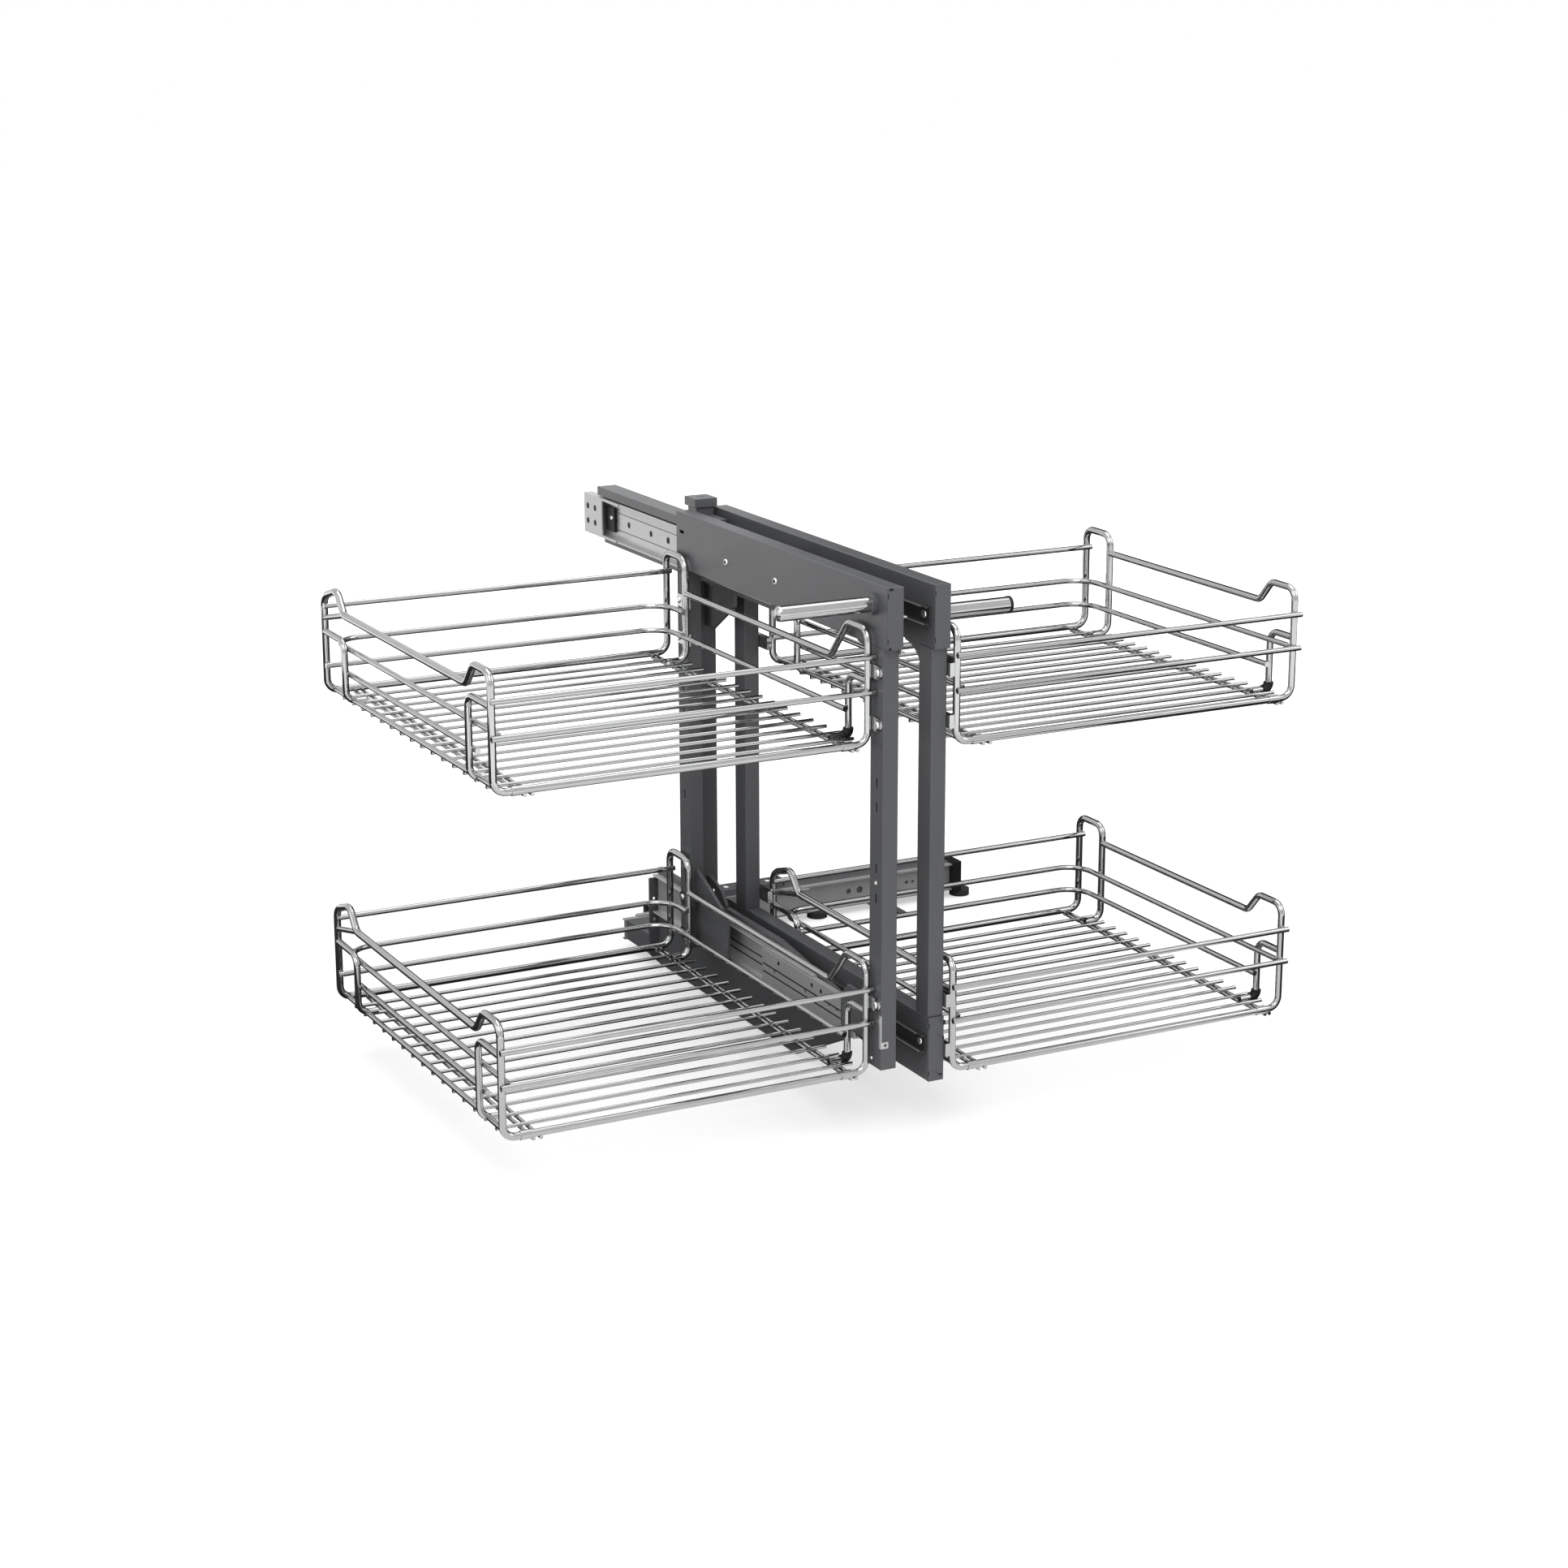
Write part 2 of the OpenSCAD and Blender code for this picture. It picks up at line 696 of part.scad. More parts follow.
module carriage_panel() {
    color(graphite)
        translate([web_x[0], 0, 0])
            rotate([90, 0, 90])
                linear_extrude(web_t)
                    polygon([
                        [panel_front, panel_low], [rear_y, panel_low], [rear_y, panel_top],
                        [slide_front, panel_top], [panel_front - nose_len, nose_z[1]],
                        [panel_front - nose_len, nose_z[0]]
                    ]);
}

module column() {
    color(graphite)
        tube_z([web_mid - column_w / 2, web_mid + column_w / 2], [column_y, column_y + column_w],
            [panel_top, bar_z[0]], tube_wall);
}

module column_cap() {
    h = column_cap_w / 2;
    c = column_y + column_w / 2;
    top = bar_z[1] + column_cap_h;
    color(graphite)
        difference() {
            union() {
                slab([web_mid - column_w / 2, web_mid + column_w / 2], [column_y - cap_plate_reach, c + h],
                    [bar_z[1], bar_z[1] + cap_plate_t]);
                slab([web_mid - h + 3, web_mid + h - 3], [c - h + 3, c + h - 3], [bar_z[1], top - eps]);
                slab([web_mid - h, web_mid + h], [c - h, c + h], [top - cap_block_h, top]);
            }
            translate([web_mid, c, top - 2])
                cylinder(d1 = 5, d2 = 9, h = 2.01);
        }
}

module column_gussets() {
    color(graphite)
        translate([web_mid - gusset_t / 2, 0, 0])
            rotate([90, 0, 90])
                linear_extrude(gusset_t) {
                    polygon([
                        [column_y, bar_z[0]], [column_y - 76, bar_z[0]], [column_y - 76, bar_z[0] - 15],
                        [column_y - 22, bar_z[0] - 50], [column_y, bar_z[0] - 50]
                    ]);
                    polygon([
                        [column_y, panel_top], [column_y, panel_top + 27], [column_y - 20, panel_top + 23],
                        [column_y - 36, panel_top + 16], [column_y - 50, panel_top + 2],
                        [column_y - 50, panel_top]
                    ]);
                }
}

module top_bar() {
    color(graphite)
        translate([0, slide_front + bar_len, 0])
            rotate([90, 0, 0])
                linear_extrude(bar_len)
                    polygon([
                        [web_x[0], bar_z[0]], [web_x[1], bar_z[0]], [web_x[1], bar_z[1] - flange_t],
                        [web_mid + column_w / 2, bar_z[1] - flange_t], [web_mid + column_w / 2, bar_z[1]],
                        [web_mid - column_w / 2, bar_z[1]],
                        [web_mid - column_w / 2, bar_z[1] - left_flange_t],
                        [web_x[0], bar_z[1] - left_flange_t]
                    ]);
}

module left_top_slide_outer() {
    end = slide_front + tall_top_len;
    lip = left_x[1] + 2 * tall_sheet + 0.4;
    color(zinc)
        difference() {
            union() {
                outer_y(web_x[0], left_x[1], tall_h, tall_sheet, slide_front, tall_top_len, tall_top_z);
                slab([lip - tall_sheet, lip + eps], [end - end_plate_len, end],
                    [tall_top_z - tall_h / 2, tall_top_z + tall_h / 2]);
            }
            for (y = [end - 11, end - 32], z = [-9, 9])
                pin_x(lip + 1, y, tall_top_z + z, slide_hole_d, -tall_sheet - 2);
            for (d = [60, 74, 111, 173, 220])
                pin_x(web_x[0] + 1, end - d, tall_top_z, slide_hole_d + 1, -tall_sheet - 2);
        }
}

module left_bottom_slide_outer() {
    color(zinc)
        outer_y(web_x[0], left_x[1], tall_h, tall_sheet, slide_front, low_len, tall_low_z);
}

module right_top_slide_outer() {
    color(black)
        outer_y(web_x[1], right_x[0], small_h, small_sheet, slide_front, bar_len, small_top_z);
}

module right_bottom_slide_outer() {
    color(black)
        outer_y(web_x[1], right_x[0], small_h, small_sheet, slide_front, low_len, small_low_z);
}

module carriage_screws() {
    color(zinc) {
        pin_x(web_mid - gusset_t / 2, column_y - 22, bar_z[0] - 22, 9, -1.5);
        pin_x(web_mid - gusset_t / 2, column_y - 16, panel_top + 11, 7, -1.5);
        for (x = [web_mid + 18, web_mid + 31], z = [18, 36])
            pin_y(x, rear_y, z, 7, -1.5);
    }
}

// Middle members
module left_top_slide_middle() {
    color(zinc)
        middle_y(web_x[0], left_x[1], tall_h, tall_sheet, left_mid_y, top_mid_len, tall_top_z);
}

module left_bottom_slide_middle() {
    color(zinc)
        middle_y(web_x[0], left_x[1], tall_h, tall_sheet, left_low_mid_y, left_low_mid_len, tall_low_z);
}

module right_top_slide_middle() {
    color(black)
        middle_y(web_x[1], right_x[0], small_h, small_sheet, right_mid_y, top_mid_len, small_top_z);
}

module right_bottom_slide_middle() {
    color(black)
        middle_y(web_x[1], right_x[0], small_h, small_sheet, right_mid_y, low_run_len, small_low_z);
}

// Left frame
module left_top_beam() {
    color(graphite)
        difference() {
            tube_y(left_x, [left_y[0] + cap_t, left_y[1]], left_beam_z, tube_wall);
            slot_x(left_x[0], left_y[0] + 52, left_beam_z[1] - 22, 12, 3);
            slot_x(left_x[0], left_y[1] - 14, left_beam_z[1] - 22, 10, 3);
        }
}

module left_beam_cap() {
    color(graphite)
        beam_cap(left_x, left_y[0], left_beam_z);
}

module left_front_post() {
    color(graphite)
        difference() {
            tube_z(left_x, left_front_post_y, [left_post_low, left_beam_z[0]], tube_wall);
            for (z = [255, 287, 352, 378])
                slot_x(left_x[0], left_front_post_y[0] + 13, z, 3, 10);
        }
}

module left_rear_post() {
    color(graphite)
        difference() {
            tube_z(left_x, left_rear_post_y, [left_post_low, left_beam_z[0]], tube_wall);
            for (z = [255, 287, 352, 378])
                slot_x(left_x[0], left_rear_post_y[0] + 13, z, 3, 10);
        }
}

module left_arc_gusset() {
    color(graphite)
        arc_gusset(left_mid, left_front_post_y[1], left_beam_z[0]);
}

module left_lower_bracket() {
    y = [left_front_post_y[0] - 1.5, left_front_post_y[0]];
    z = left_post_low + 24;
    color(zinc)
        difference() {
            union() {
                slab([left_x[0] - 1.2, left_x[0]], [y[0], y[1] + 2.5], [z, z + 36]);
                slab([left_x[0] - 1.2, left_x[0] + 8], y, [z, z + 7]);
            }
            pin_y(left_x[0] + 4.5, y[0] - 1, z + 3.5, 3.4, 4);
        }
}

// Plates that hold the lower slide's inner member and stiffen the rear post
module left_slide_brackets() {
    front = left_front_post_y[1];
    rear = left_rear_post_y[0];
    color(graphite) {
        translate([left_x[1] - bracket_t, 0, 0])
            rotate([90, 0, 90])
                linear_extrude(bracket_t)
                    polygon([
                        [front, tall_low_z - 10], [left_low_y + 25, tall_low_z - 10],
                        [left_low_y + 25, tall_low_z + 24], [left_low_y + 10, tall_low_z + 40],
                        [front, tall_low_z + 40]
                    ]);
        translate([left_mid - gusset_t / 2, 0, 0])
            rotate([90, 0, 90])
                linear_extrude(gusset_t)
                    polygon([
                        [rear, left_post_low + 6], [rear, left_post_low + 96],
                        [rear - 32, left_post_low + 83],
                        [rear - 57, left_post_low + 71], [rear - 82, left_post_low + 58],
                        [rear - 82, left_post_low + 6]
                    ]);
    }
}

module left_top_slide_inner() {
    color(zinc)
        inner_y(web_x[0], left_x[1], tall_h, tall_sheet, left_inner_y, top_inner_len, tall_top_z);
}

module left_bottom_slide_inner() {
    color(zinc)
        difference() {
            inner_y(web_x[0], left_x[1], tall_h, tall_sheet, left_low_y, left_low_len, tall_low_z);
            for (d = [40, 58, 112, 186])
                pin_x(left_x[1] - 1, left_low_y + d, tall_low_z, slide_hole_d, tall_sheet + 2);
        }
}

module left_handle() {
    color(chrome)
        handle_rod(left_x[0] - collar_len, left_handle_y, left_handle_z, left_handle_len, -1);
}

module left_handle_collar() {
    color(graphite)
        pin_x(left_x[0], left_handle_y, left_handle_z, handle_d + 6, -collar_len, $fn = 64);
}

module upper_left_basket() {
    color(chrome)
        translate([left_basket[0], left_basket[1], upper_z])
            basket_walls(left_w, left_depth, wire_d / 2 + left_gap - 1, true);
}

module upper_left_floor() {
    color(chrome)
        translate([left_basket[0], left_basket[1], upper_z])
            basket_floor(left_w, left_depth);
}

module lower_left_basket() {
    color(chrome)
        translate([left_basket[0], left_basket[1], lower_z])
            basket_walls(left_w, left_depth, wire_d / 2 + left_gap - 1, true);
}

module lower_left_floor() {
    color(chrome)
        translate([left_basket[0], left_basket[1], lower_z])
            basket_floor(left_w, left_depth);
}

module left_basket_tabs() {
    x = [left_x[0] - left_gap - weld, left_x[0]];
    rear = left_basket[1] + left_depth - 50;
    color(chrome) {
        for (z = left_front_tabs)
            tab(x, [left_basket[1], left_front_post_y[0] + 8], z);
        for (z = left_rear_tabs)
            tab(x, [rear, left_rear_post_y[1] - 10], z);
    }
}

module left_basket_tips() {
    color(black)
        for (z = [upper_z, lower_z])
            translate([left_basket[0], left_basket[1], z])
                basket_tip(left_w);
}

module left_screws() {
    x = left_x[0] - left_gap - weld;
    color(zinc) {
        for (z = left_front_tabs)
            pin_x(x, left_front_post_y[0] + 8, z, 8, -1.5);
        for (z = left_rear_tabs)
            pin_x(x, left_rear_post_y[1] - 10, z, 8, -1.5);
        for (y = [left_y[0] + 246, left_y[0] + 364])
            pin_x(left_x[0], y, left_beam_z[1] - 37, 10, -1.2);
        pin_x(left_x[0], left_front_post_y[1] - 6, left_post_low + 8, 4, -1.2);
    }
}

// Right frame
module right_top_beam() {
    color(graphite)
        difference() {
            tube_y(right_x, [right_y[0] + cap_t, right_y[1]], right_beam_z, tube_wall);
            slot_x(right_x[0], right_y[1] - 16, right_beam_z[1] - 20, 10, 3);
        }
}

module right_beam_caps() {
    color(graphite) {
        beam_cap(right_x, right_y[0], right_beam_z);
        beam_cap(right_x, low_y[0], low_z);
    }
}

module right_bottom_beam() {
    color(graphite)
        tube_y(right_x, [low_y[0] + cap_t, low_y[1]], low_z, tube_wall);
}

module right_front_post() {
    color(graphite)
        tube_z(right_x, right_front_post_y, [low_z[1], right_beam_z[0]], tube_wall);
}

module right_rear_post() {
    color(graphite)
        tube_z(right_x, right_rear_post_y, [low_z[1], right_beam_z[0]], tube_wall);
}

module right_arc_gusset() {
    color(graphite)
        arc_gusset(right_mid, right_front_post_y[1], right_beam_z[0]);
}

module right_top_slide_inner() {
    color(black)
        inner_y(web_x[1], right_x[0], small_h, small_sheet, right_inner_y, right_inner_len, small_top_z);
}

module right_bottom_slide_inner() {
    color(black)
        inner_y(web_x[1], right_x[0], small_h, small_sheet, right_inner_y, low_run_len, small_low_z);
}

module right_handle() {
    color(chrome)
        pin_x(right_x[1], right_handle_y, right_handle_z, handle_d, right_handle_len, $fn = 64);
}

module right_handle_cap() {
    color(black)
        translate([right_x[1] + right_handle_len, right_handle_y, right_handle_z])
            rotate([0, 90, 0])
                cylinder(d = handle_d + 1, h = handle_cap_len, $fn = 64);
}

module upper_right_basket() {
    color(chrome)
        translate([right_basket[0], right_basket[1], upper_z])
            basket_walls(right_w, right_depth, wire_d / 2 + 1, false);
}

module upper_right_floor() {
    color(chrome)
        translate([right_basket[0], right_basket[1], upper_z])
            basket_floor(right_w, right_depth);
}

module lower_right_basket() {
    color(chrome)
        translate([right_basket[0], right_basket[1], lower_z])
            basket_walls(right_w, right_depth, wire_d / 2 + 1, false);
}

module lower_right_floor() {
    color(chrome)
        translate([right_basket[0], right_basket[1], lower_z])
            basket_floor(right_w, right_depth);
}

module right_basket_tabs() {
    x = [right_x[1], right_x[1] + right_gap + weld];
    rear = right_basket[1] + right_depth;
    color(chrome)
        for (z = tabs) {
            tab(x, [right_basket[1] - 2, right_front_post_y[0] + 14], z);
            tab(x, [rear - 4, right_rear_post_y[0] + 16], z);
        }
}

module right_basket_tips() {
    color(black)
        for (z = [upper_z, lower_z])
            translate([right_basket[0], right_basket[1], z])
                basket_tip(right_w);
}

module right_screws() {
    x = right_x[0] - small_sheet;
    color(zinc) {
        for (z = [small_top_z, small_low_z])
            pin_x(x, right_inner_y + 12, z, 9, -1.2);
        for (z = [small_top_z, small_low_z])
            pin_x(x, right_inner_y + low_run_len - 20, z, 9, -1.2);
    }
}

cross_rail();
rail_end_block();
rail_left_box();
rail_feet();
floor_brackets();
cross_slide_outer();
base_screws();
cross_slide_middle();
cross_slide_inner();
carriage_block();
rear_plate();
carriage_panel();
column();
column_cap();
column_gussets();
top_bar();
left_top_slide_outer();
left_bottom_slide_outer();
right_top_slide_outer();
right_bottom_slide_outer();
carriage_screws();
left_top_slide_middle();
left_bottom_slide_middle();
left_top_beam();
left_beam_cap();
left_front_post();
left_rear_post();
left_arc_gusset();
left_lower_bracket();
left_slide_brackets();
left_top_slide_inner();
left_bottom_slide_inner();
left_handle();
left_handle_collar();
upper_left_basket();
upper_left_floor();
lower_left_basket();
lower_left_floor();
left_basket_tabs();
left_basket_tips();
left_screws();
right_top_slide_middle();
right_bottom_slide_middle();
right_top_beam();
right_beam_caps();
right_bottom_beam();
right_front_post();
right_rear_post();
right_arc_gusset();
right_top_slide_inner();
right_bottom_slide_inner();
right_handle();
right_handle_cap();
upper_right_basket();
upper_right_floor();
lower_right_basket();
lower_right_floor();
right_basket_tabs();
right_basket_tips();
right_screws();
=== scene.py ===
"""Blind corner pull-out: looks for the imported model. Metres, same frame as the solids."""
import json
import math

import bmesh
import bpy
from mathutils import Matrix, Vector


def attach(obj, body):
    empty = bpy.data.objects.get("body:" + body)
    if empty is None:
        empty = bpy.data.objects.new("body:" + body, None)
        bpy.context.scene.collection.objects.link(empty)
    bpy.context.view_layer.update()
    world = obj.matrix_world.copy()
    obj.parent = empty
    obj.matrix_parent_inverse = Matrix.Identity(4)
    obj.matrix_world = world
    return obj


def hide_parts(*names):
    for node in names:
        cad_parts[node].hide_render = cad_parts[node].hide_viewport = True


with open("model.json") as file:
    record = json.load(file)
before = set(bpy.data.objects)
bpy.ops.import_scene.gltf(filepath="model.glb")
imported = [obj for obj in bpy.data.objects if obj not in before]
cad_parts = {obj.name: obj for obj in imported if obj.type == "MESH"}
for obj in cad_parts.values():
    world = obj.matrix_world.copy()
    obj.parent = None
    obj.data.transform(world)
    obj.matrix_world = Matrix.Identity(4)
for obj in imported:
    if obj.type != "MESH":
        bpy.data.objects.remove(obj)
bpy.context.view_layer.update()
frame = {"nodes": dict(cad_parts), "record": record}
MM = 0.001


class Socket:
    """A shader socket that can be used in plain expressions."""

    def __init__(self, tree, out):
        self.tree, self.out = tree, out

    def node(self, kind, settings=None, ramp=None, out=0, **inputs):
        """Add a node. Inputs go by socket name, or by i and the socket's number; ramp stops are greys."""
        made = self.tree.nodes.new(kind)
        for key, value in (settings or {}).items():
            setattr(made, key, value)
        if ramp:
            stops = made.color_ramp.elements
            while len(stops) < len(ramp):
                stops.new(0.5)
            for stop, (place, grey) in zip(stops, ramp):
                stop.position = place
                stop.color = (grey, grey, grey, 1)
        for key, value in inputs.items():
            numbered = key[0] == "i" and key[1:].isdigit()
            slot = made.inputs[int(key[1:]) if numbered else key.replace("_", " ")]
            if isinstance(value, Socket):
                self.tree.links.new(value.out, slot)
            else:
                slot.default_value = value
        return Socket(self.tree, made.outputs[out])

    def maths(self, operation, a, b):
        return self.node("ShaderNodeMath", {"operation": operation}, i0=a, i1=b)

    def __add__(self, other):
        return self.maths("ADD", self, other)

    def __radd__(self, other):
        return self.maths("ADD", other, self)

    def __mul__(self, other):
        return self.maths("MULTIPLY", self, other)

    def __rmul__(self, other):
        return self.maths("MULTIPLY", other, self)

    def mix(self, low, high):
        """Colour between two colours, by this value."""
        return self.node("ShaderNodeMix", {"data_type": "RGBA"}, out=2, i0=self, i6=low, i7=high)


def finish(name, build, **fixed):
    """A material whose build function returns the sockets that vary over the surface."""
    made = bpy.data.materials.new(name)
    made.use_nodes = True
    tree = made.node_tree
    shader = tree.nodes["Principled BSDF"]
    for key, value in fixed.items():
        shader.inputs[key.replace("_", " ")].default_value = value
    place = Socket(tree, tree.nodes.new("ShaderNodeTexCoord").outputs["Object"])
    for key, value in build(place).items():
        tree.links.new(value.out, shader.inputs[key.replace("_", " ")])
    return made


def noise(place, scale, detail, rough=0.55, stretch=None):
    """Noise from 0 to 1, in cycles per metre, optionally stretched along the axes."""
    if stretch:
        place = place.node("ShaderNodeMapping", Vector=place, Scale=stretch)
    return place.node("ShaderNodeTexNoise", Vector=place, Scale=scale, Detail=detail, Roughness=rough)


def bump(place, height, strength, distance):
    return place.node("ShaderNodeBump", Height=height, Strength=strength, Distance=distance)


def graphite_paint(place):
    grain = noise(place, scale=1400, detail=2)
    cloud = noise(place, scale=9, detail=3)
    tone = (0.75 * cloud + 0.25 * grain).mix((0.064, 0.066, 0.07, 1), (0.086, 0.088, 0.092, 1))
    return {"Base_Color": tone, "Roughness": 0.36 + 0.14 * cloud,
            "Normal": bump(place, grain, strength=0.16, distance=0.3 * MM)}


def chrome_plate(place):
    wear = noise(place, scale=60, detail=4)
    tone = wear.mix((0.38, 0.383, 0.386, 1), (0.46, 0.462, 0.464, 1))
    return {"Base_Color": tone, "Roughness": 0.05 + 0.09 * wear}


def zinc_plate(place):
    streak = noise(place, scale=260, detail=3, rough=0.6, stretch=(1.0, 0.05, 1.0))
    cloud = noise(place, scale=45, detail=4)
    tone = (0.5 * streak + 0.5 * cloud).mix((0.42, 0.423, 0.427, 1), (0.55, 0.552, 0.555, 1))
    return {"Base_Color": tone, "Roughness": 0.3 + 0.16 * cloud,
            "Normal": bump(place, streak, strength=0.12, distance=0.2 * MM)}


def black_steel(place):
    grain = noise(place, scale=900, detail=2)
    cloud = noise(place, scale=30, detail=3)
    tone = cloud.mix((0.016, 0.016, 0.018, 1), (0.028, 0.028, 0.03, 1))
    return {"Base_Color": tone, "Roughness": 0.3 + 0.16 * cloud,
            "Normal": bump(place, grain, strength=0.1, distance=0.2 * MM)}


def black_plastic(place):
    grain = noise(place, scale=1600, detail=2)
    cloud = noise(place, scale=40, detail=3)
    tone = cloud.mix((0.005, 0.005, 0.006, 1), (0.011, 0.011, 0.012, 1))
    return {"Base_Color": tone, "Roughness": 0.42 + 0.18 * grain,
            "Normal": bump(place, grain, strength=0.14, distance=0.2 * MM)}


def foot_rubber(place):
    grain = noise(place, scale=700, detail=4)
    tone = grain.mix((0.012, 0.012, 0.012, 1), (0.03, 0.03, 0.03, 1))
    return {"Base_Color": tone, "Roughness": 0.65 + 0.2 * grain,
            "Normal": bump(place, grain, strength=0.2, distance=0.3 * MM)}


def screw_steel(place):
    cloud = noise(place, scale=300, detail=4)
    tone = cloud.mix((0.66, 0.66, 0.66, 1), (0.86, 0.86, 0.85, 1))
    return {"Base_Color": tone, "Roughness": 0.2 + 0.2 * cloud}


LOOKS = {
    "graphite_paint": finish("graphite_paint", graphite_paint, Coat_Weight=0.15, Coat_Roughness=0.3),
    "chrome": finish("chrome_plate", chrome_plate, Metallic=1.0),
    "zinc": finish("zinc_plate", zinc_plate, Metallic=0.6),
    "black_steel": finish("black_steel", black_steel, Coat_Weight=0.2, Coat_Roughness=0.2),
    "black_plastic": finish("black_plastic", black_plastic, Specular_IOR_Level=0.22),
    "foot_rubber": finish("foot_rubber", foot_rubber),
    "screw_steel": finish("screw_steel", screw_steel, Metallic=1.0),
}

record = frame["record"]
slot_of = {part["node"]: part["material_slot"] for part in record["subparts"]}
body_of = {node: body for body, nodes in record["behaviour"]["bodies"].items() for node in nodes}
for node_name, node_object in frame["nodes"].items():
    look = LOOKS[slot_of[node_name]]
    if node_object.material_slots:
        for material_slot in node_object.material_slots:
            material_slot.material = look
    else:
        node_object.data.materials.append(look)


def placed(name, work, look):
    """Make a bmesh a named object in the scene."""
    mesh = bpy.data.meshes.new(name)
    work.to_mesh(mesh)
    work.free()
    mesh.materials.append(look)
    made = bpy.data.objects.new(name, mesh)
    bpy.context.scene.collection.objects.link(made)
    return made


def piece(name, work, body, slot, stands_for=None):
    """Make a bmesh a piece of the object that rides on a body."""
    made = placed(name, work, LOOKS[slot])
    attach(made, body)
    if stands_for:
        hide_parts(stands_for)


MERGE_GAP = 0.005 * MM
FLAT_ANGLE = math.radians(2)
SHARP_ANGLE = math.radians(50)


def merged(node):
    """A bmesh of a node with its loose triangles joined."""
    work = bmesh.new()
    work.from_mesh(frame["nodes"][node].data)
    bmesh.ops.remove_doubles(work, verts=work.verts, dist=MERGE_GAP)
    return work


def soften(node, width):
    """Stand a copy with rounded edges in a node's place."""
    work = merged(node)
    bmesh.ops.dissolve_limit(work, angle_limit=FLAT_ANGLE, verts=work.verts, edges=work.edges)
    sharp = [edge for edge in work.edges
             if len(edge.link_faces) == 2 and edge.calc_face_angle() > SHARP_ANGLE]
    bmesh.ops.bevel(work, geom=sharp, offset=width, offset_type="OFFSET", segments=2, profile=0.5,
                    affect="EDGES", clamp_overlap=True, material=-1)
    piece(node + "_skin", work, body_of[node], slot_of[node], node)


def islands(node):
    """Lowest and highest corner of each separate solid in a node."""
    work = merged(node)
    left = set(work.verts)
    boxes = []
    while left:
        waiting = [left.pop()]
        found = list(waiting)
        while waiting:
            here = waiting.pop()
            for link in here.link_edges:
                other = link.other_vert(here)
                if other in left:
                    left.remove(other)
                    found.append(other)
                    waiting.append(other)
        boxes.append(tuple(Vector(pick(vert.co[axis] for vert in found) for axis in range(3))
                           for pick in (min, max)))
    work.free()
    return boxes


def cut_grid(work, places):
    """Cut a bmesh by planes across X and Y at the given places."""
    for place in places:
        for way in ((1, 0, 0), (0, 1, 0)):
            geometry = work.verts[:] + work.edges[:] + work.faces[:]
            bmesh.ops.bisect_plane(work, geom=geometry, plane_co=Vector(way) * place, plane_no=way)


def tapered_disc(radius, top_radius, height):
    """A bmesh of a flat cone that stands on the origin along Z."""
    work = bmesh.new()
    bmesh.ops.create_cone(work, cap_ends=True, segments=32, radius1=radius, radius2=top_radius, depth=height,
                          matrix=Matrix.Translation((0, 0, height / 2)))
    return work


def cross_screw(radius, height):
    """A pan head with a cross recess, standing on the origin along Z."""
    work = tapered_disc(radius, 0.8 * radius, height)
    rim = [edge for edge in work.edges if min(vert.co.z for vert in edge.verts) > 0.9 * height]
    bmesh.ops.bevel(work, geom=rim, offset=0.22 * radius, offset_type="OFFSET", segments=3, profile=0.5,
                    affect="EDGES", clamp_overlap=True, material=-1)
    bar, reach, sink = 0.13 * radius, 0.48 * radius, 0.6 * height
    cut_grid(work, (-reach, -bar, bar, reach))

    def in_cross(face):
        middle = face.calc_center_median()
        across, along = sorted((abs(middle.x), abs(middle.y)))
        return face.normal.z > 0.9 and middle.z > 0.99 * height and across < bar and along < reach

    work.normal_update()
    recess = [face for face in work.faces if in_cross(face)]
    sunk = bmesh.ops.extrude_face_region(work, geom=recess)["geom"]
    bottom = [item for item in sunk if isinstance(item, bmesh.types.BMVert)]
    bmesh.ops.translate(work, verts=bottom, vec=(0, 0, -sink))
    return work


def rivet(radius, height):
    """A flanged rivet with a sunk core, standing on the origin along Z."""
    work = tapered_disc(radius, 0.86 * radius, height)
    rim, core_wall, sink = 0.3 * radius, 0.06 * radius, 0.7 * height
    work.normal_update()
    top = [face for face in work.faces if face.normal.z > 0.9]
    for inset in (rim, core_wall):
        bmesh.ops.inset_region(work, faces=top, thickness=inset, use_even_offset=True)
    bmesh.ops.translate(work, verts=top[0].verts, vec=(0, 0, -sink))
    return work


def add_to(whole, part, place, outward):
    """Join a part made along Z to a bmesh, turned outward at a place."""
    turn = Vector((0, 0, 1)).rotation_difference(outward).to_matrix().to_4x4()
    bmesh.ops.transform(part, matrix=Matrix.Translation(place) @ turn, verts=part.verts)
    passing = bpy.data.meshes.new("passing")
    part.to_mesh(passing)
    part.free()
    whole.from_mesh(passing)
    bpy.data.meshes.remove(passing)


# Pins wider than this are rivets, whose flange takes this share of the pin
RIVET_MIN = 4.8 * MM
RIVET_SHARE = 0.75
OUTWARD = (Vector((-1, 0, 0)), Vector((0, -1, 0)), Vector((0, 0, 1)))


def screw_heads(node):
    """Stand cross screws and rivets in place of a node's plain pins."""
    whole = bmesh.new()
    for low, high in islands(node):
        size = high - low
        axis = min(range(3), key=lambda k: size[k])
        height = size[axis]
        radius = max(size) / 2
        place = (low + high) / 2 - OUTWARD[axis] * height / 2
        head = rivet(RIVET_SHARE * radius, height) if radius > RIVET_MIN else cross_screw(radius, height)
        add_to(whole, head, place, OUTWARD[axis])
    piece(node + "_heads", whole, body_of[node], slot_of[node], node)


for screw_node in ("base_screws", "carriage_screws", "left_screws", "right_screws"):
    screw_heads(screw_node)

WIRE_SIDES = 20
BEND_STEP = math.radians(15)
STRAIGHT = 0.01


